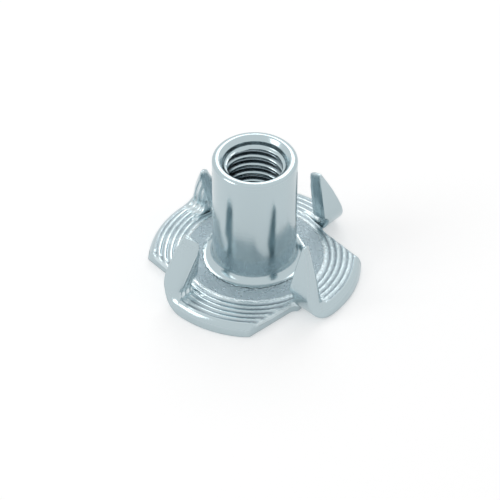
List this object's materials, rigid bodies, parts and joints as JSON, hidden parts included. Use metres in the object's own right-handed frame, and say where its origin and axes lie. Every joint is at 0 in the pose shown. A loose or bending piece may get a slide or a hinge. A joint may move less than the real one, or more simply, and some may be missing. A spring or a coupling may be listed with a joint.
{
  "type": "tee nut",
  "caption": "Pronged tee nut: a round flange with a threaded barrel on one side and prongs folded up out of the flange, to bite into wood.",
  "frame": {"origin": "centre of the flange's underside, on the barrel's axis", "axes": "+Z along the barrel's axis, from the flange to the lip; +X and +Y lie in the plane of the flange, and the picture was taken looking along +Y"},
  "size_m": [0.0198, 0.0198, 0.013],
  "materials": {
    "zinc_plated_steel": "bright zinc plating"
  },
  "bodies": {
    "root": {"tee_nut": "zinc_plated_steel"}
  },
  "joints": []
}
